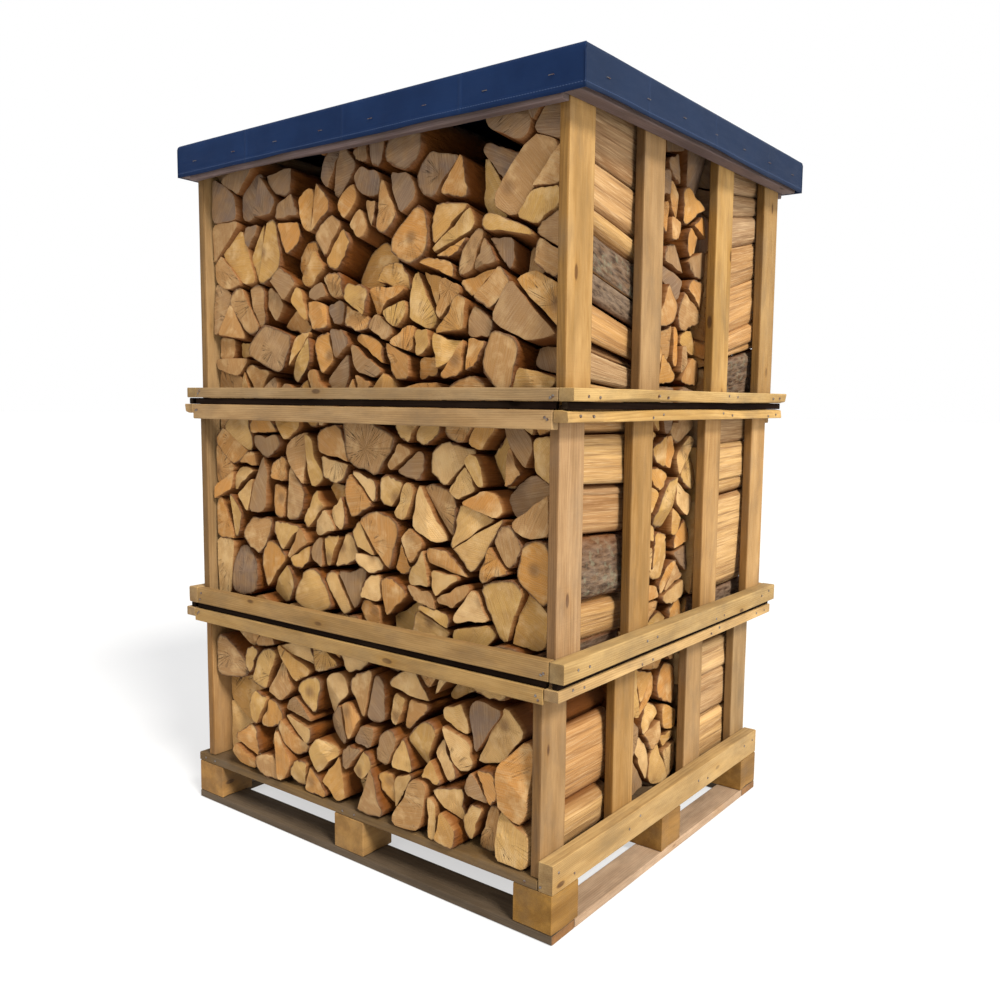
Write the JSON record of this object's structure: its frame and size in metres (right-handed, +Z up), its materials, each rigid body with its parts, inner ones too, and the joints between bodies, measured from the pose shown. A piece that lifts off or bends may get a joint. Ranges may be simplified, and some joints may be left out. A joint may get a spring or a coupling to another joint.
{
  "type": "firewood log crate",
  "caption": "Slatted timber crate of split firewood on a block pallet, under a fitted cloth cover.",
  "frame": {"origin": "middle of the whole outline, at ground level; the pallet's own middle is 20.5 mm to the left, because the tiers are stacked a little out of line", "axes": "+X along the crate's long side, +Y along its depth, +Z up"},
  "size_m": [1.241, 1.064, 1.718],
  "materials": {
    "slat_wood": "rough sawn softwood, golden",
    "rail_wood": "rough sawn softwood, pale",
    "pallet_wood": "weathered rough sawn softwood, brown",
    "firewood": "split kiln-dried logs: sawn ends, split faces and bark",
    "cover_cloth": "navy woven cover, slightly glossy"
  },
  "bodies": {
    "root": {"bottom_board_front": "pallet_wood", "bottom_board_back": "pallet_wood", "bottom_board_left": "pallet_wood", "bottom_board_right": "pallet_wood", "block_front_left": "pallet_wood", "block_front_centre": "pallet_wood", "block_front_right": "pallet_wood", "block_middle_left": "pallet_wood", "block_middle_centre": "pallet_wood", "block_middle_right": "pallet_wood", "block_back_left": "pallet_wood", "block_back_centre": "pallet_wood", "block_back_right": "pallet_wood", "deck": "pallet_wood", "side_beam": "rail_wood", "tier1_slat_left_front": "slat_wood", "tier1_slat_left_mid_front": "slat_wood", "tier1_slat_left_mid_back": "slat_wood", "tier1_slat_left_back": "slat_wood", "tier1_slat_right_front": "slat_wood", "tier1_slat_right_mid_front": "slat_wood", "tier1_slat_right_mid_back": "slat_wood", "tier1_slat_right_back": "slat_wood", "tier2_slat_left_front": "slat_wood", "tier2_slat_left_mid_front": "slat_wood", "tier2_slat_left_mid_back": "slat_wood", "tier2_slat_left_back": "slat_wood", "tier2_slat_right_front": "slat_wood", "tier2_slat_right_mid_front": "slat_wood", "tier2_slat_right_mid_back": "slat_wood", "tier2_slat_right_back": "slat_wood", "tier3_slat_left_front": "slat_wood", "tier3_slat_left_mid_front": "slat_wood", "tier3_slat_left_mid_back": "slat_wood", "tier3_slat_left_back": "slat_wood", "tier3_slat_right_front": "slat_wood", "tier3_slat_right_mid_front": "slat_wood", "tier3_slat_right_mid_back": "slat_wood", "tier3_slat_right_back": "slat_wood", "tier1_top_rail_left": "rail_wood", "tier1_top_rail_right": "rail_wood", "tier1_top_rail_front": "rail_wood", "tier1_top_rail_back": "rail_wood", "tier2_bottom_rail_left": "rail_wood", "tier2_bottom_rail_right": "rail_wood", "tier2_bottom_rail_front": "rail_wood", "tier2_bottom_rail_back": "rail_wood", "tier2_top_rail_left": "rail_wood", "tier2_top_rail_right": "rail_wood", "tier2_top_rail_front": "rail_wood", "tier2_top_rail_back": "rail_wood", "tier3_bottom_rail_left": "rail_wood", "tier3_bottom_rail_right": "rail_wood", "tier3_bottom_rail_front": "rail_wood", "tier3_bottom_rail_back": "rail_wood", "tier3_top_rail_front": "rail_wood", "tier3_top_rail_back": "rail_wood", "log_stack": "firewood", "cover": "cover_cloth"}
  },
  "joints": []
}
